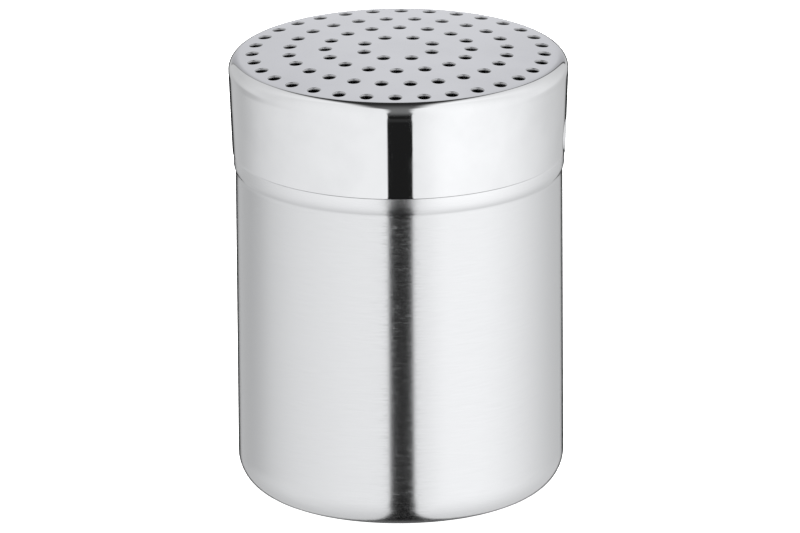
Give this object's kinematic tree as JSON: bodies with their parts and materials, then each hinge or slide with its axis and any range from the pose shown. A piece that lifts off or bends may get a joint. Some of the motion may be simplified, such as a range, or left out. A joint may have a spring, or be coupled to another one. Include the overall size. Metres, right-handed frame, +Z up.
{
  "type": "sugar shaker",
  "caption": "Straight-sided steel shaker for sugar: a drawn can with a rounded base and a bead, and a domed lid with rings of sprinkling holes and pressed bayonet dimples.",
  "frame": {"origin": "centre of the base, on the surface that the shaker stands on", "axes": "+Z up along the axis of the can, +X through the middle of one lid dimple"},
  "size_m": [0.0708, 0.0708, 0.095],
  "materials": {
    "satin_steel": "satin stainless steel, brushed round the can",
    "polished_steel": "mirror-polished stainless steel"
  },
  "bodies": {
    "can": {"can_body": "satin_steel"},
    "lid": {"perforated_lid": "polished_steel"}
  },
  "joints": [
    {"name": "lid_lift", "type": "slide", "parent": "can", "child": "lid", "axis": [0, 0, 1], "range_m": [0, 0.06]}
  ]
}
